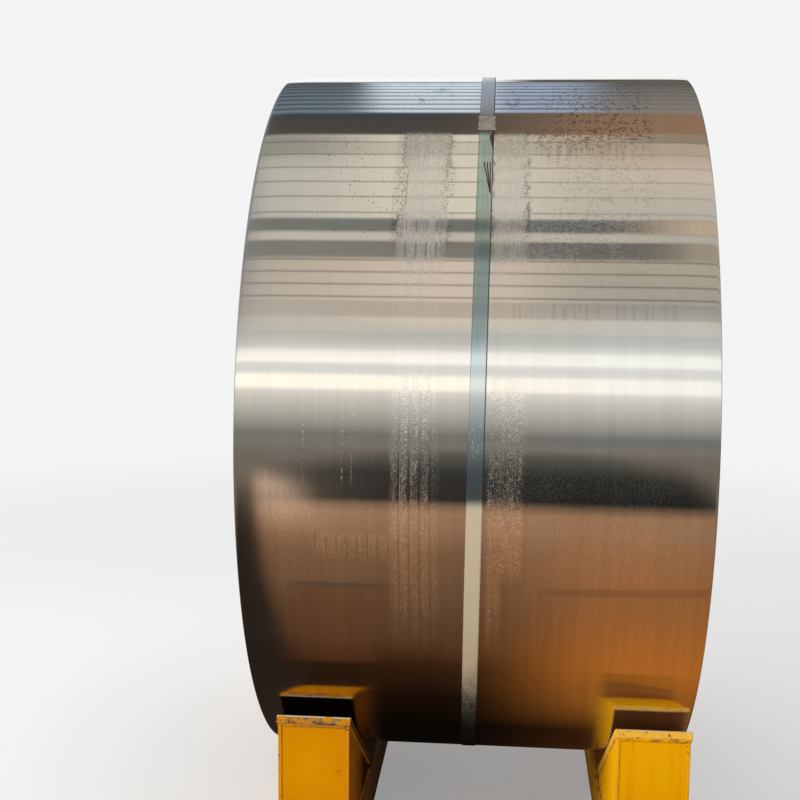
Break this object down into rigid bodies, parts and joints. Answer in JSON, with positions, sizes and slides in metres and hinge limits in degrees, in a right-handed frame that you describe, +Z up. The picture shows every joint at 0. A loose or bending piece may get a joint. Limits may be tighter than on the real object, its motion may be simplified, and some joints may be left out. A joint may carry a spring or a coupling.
{
  "type": "steel coil",
  "caption": "Wide coil of bright cold-rolled steel strip with one steel strap, lying on welded wedge chocks on low rails.",
  "frame": {"origin": "on the floor under the middle of the coil, at the centre of the part's footprint", "axes": "+X along the coil's bore axis, -Y the side that the picture shows, +Z up"},
  "size_m": [1.006, 1.7862, 1.9679],
  "materials": {
    "coil_steel": "bright rolled, its grain running round the coil, with faint stain bands",
    "strap_steel": "dull grey steel with dark edges and a little rust",
    "seal_steel": "dull, slightly rusty",
    "chock_paint": "semi-gloss yellow, chipped at the edges",
    "wear_plate": "yellow paint worn through to greasy grey steel",
    "base_paint": "satin yellow, scuffed and dusty",
    "rail_paint": "satin yellow, dirty and rubbed"
  },
  "bodies": {
    "root": {"coil": "coil_steel", "strap": "strap_steel", "strap_seal": "seal_steel", "front_left_wear_plate": "wear_plate", "front_left_left_plate": "chock_paint", "front_left_right_plate": "chock_paint", "front_left_back_plate": "chock_paint", "front_left_base_plate": "base_paint", "front_right_wear_plate": "wear_plate", "front_right_left_plate": "chock_paint", "front_right_right_plate": "chock_paint", "front_right_back_plate": "chock_paint", "front_right_base_plate": "base_paint", "rear_left_wear_plate": "wear_plate", "rear_left_left_plate": "chock_paint", "rear_left_right_plate": "chock_paint", "rear_left_back_plate": "chock_paint", "rear_left_base_plate": "base_paint", "rear_right_wear_plate": "wear_plate", "rear_right_left_plate": "chock_paint", "rear_right_right_plate": "chock_paint", "rear_right_back_plate": "chock_paint", "rear_right_base_plate": "base_paint", "left_rail": "rail_paint", "right_rail": "rail_paint"}
  },
  "joints": []
}
